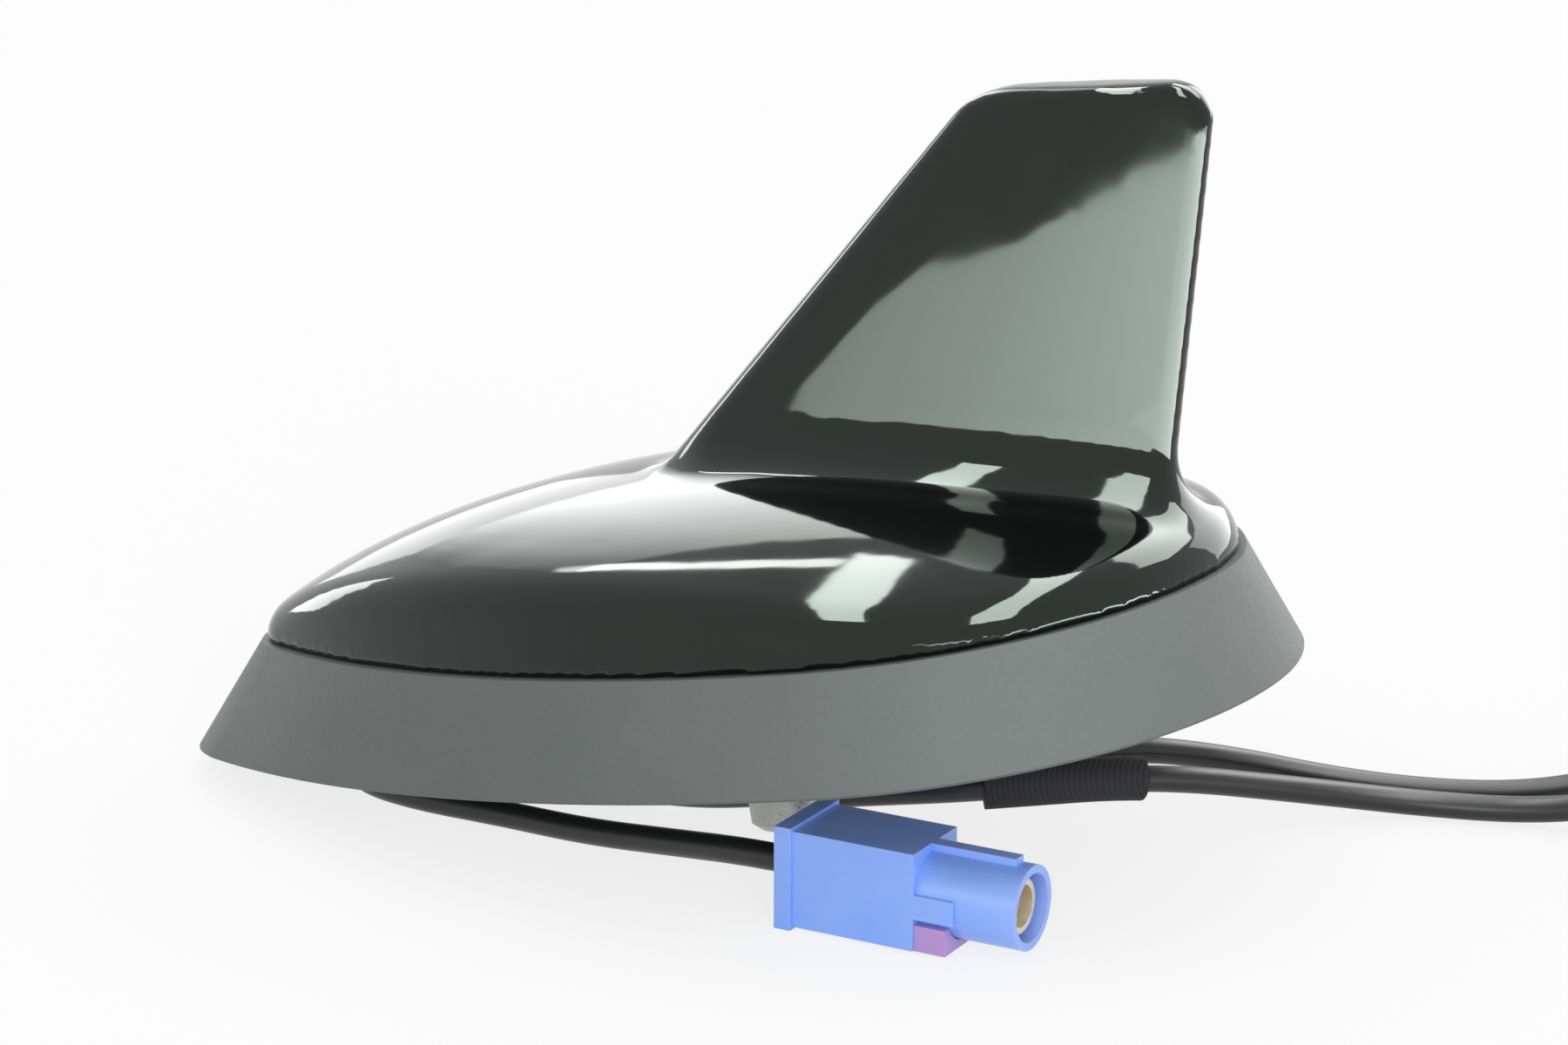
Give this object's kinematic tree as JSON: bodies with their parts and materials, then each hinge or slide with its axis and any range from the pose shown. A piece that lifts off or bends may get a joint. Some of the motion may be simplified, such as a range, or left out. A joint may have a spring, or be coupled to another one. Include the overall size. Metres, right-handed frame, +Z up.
{
  "type": "car roof antenna",
  "caption": "Fin-shaped car roof antenna: gloss radome on a rubber skirt, cast base with a hollow mounting stud, boards inside, and coax leads with coded plugs.",
  "frame": {"origin": "on the stud's axis, in the plane of the roof panel (underside of the skirt's sealing lip)", "axes": "+X to the rear of the car, along the fin; +Y across; +Z up, out of the roof"},
  "size_m": [0.1823, 0.0859, 0.0933],
  "materials": {
    "gloss_black": "injection moulded, polished",
    "skirt_rubber": "moulded, matte",
    "die_casting": "die cast, as cast",
    "board_laminate": "solder mask",
    "patch_ceramic": "fired ceramic",
    "silvered_face": "fired silver",
    "can_steel": "tinned sheet",
    "radiator_copper": "etched copper foil",
    "screw_steel": "zinc plated",
    "grommet_rubber": "moulded, matte",
    "lead_jacket": "extruded flexible plastic",
    "cloth_tape": "woven adhesive tape",
    "plug_blue": "injection moulded",
    "plug_bordeaux": "injection moulded",
    "plug_ivory": "injection moulded",
    "lock_violet": "injection moulded",
    "lock_grey": "injection moulded",
    "contact_brass": "turned and plated",
    "insulator_white": "machined fluoroplastic",
    "ferrule_nickel": "crimped, nickel plated"
  },
  "bodies": {
    "root": {"base_plate": "die_casting", "board_screws": "screw_steel", "fin_board": "board_laminate", "fin_radiator": "radiator_copper", "gps_electrode": "silvered_face", "gps_lead": "lead_jacket", "gps_patch": "patch_ceramic", "gps_plug_ferrule": "ferrule_nickel", "gps_plug_housing": "plug_blue", "gps_plug_insulator": "insulator_white", "gps_plug_lock": "lock_violet", "gps_plug_pin": "contact_brass", "gps_plug_sleeve": "contact_brass", "lead_grommet": "grommet_rubber", "lead_sleeve": "cloth_tape", "lead_tails": "lead_jacket", "main_board": "board_laminate", "phone_lead": "lead_jacket", "phone_plug_ferrule": "ferrule_nickel", "phone_plug_housing": "plug_bordeaux", "phone_plug_insulator": "insulator_white", "phone_plug_lock": "lock_grey", "phone_plug_pin": "contact_brass", "phone_plug_sleeve": "contact_brass", "radio_lead": "lead_jacket", "radio_plug_ferrule": "ferrule_nickel", "radio_plug_housing": "plug_ivory", "radio_plug_insulator": "insulator_white", "radio_plug_lock": "lock_grey", "radio_plug_pin": "contact_brass", "radio_plug_sleeve": "contact_brass", "radome": "gloss_black", "radome_screws": "screw_steel", "roof_gasket": "skirt_rubber", "shield_can": "can_steel"}
  },
  "joints": []
}
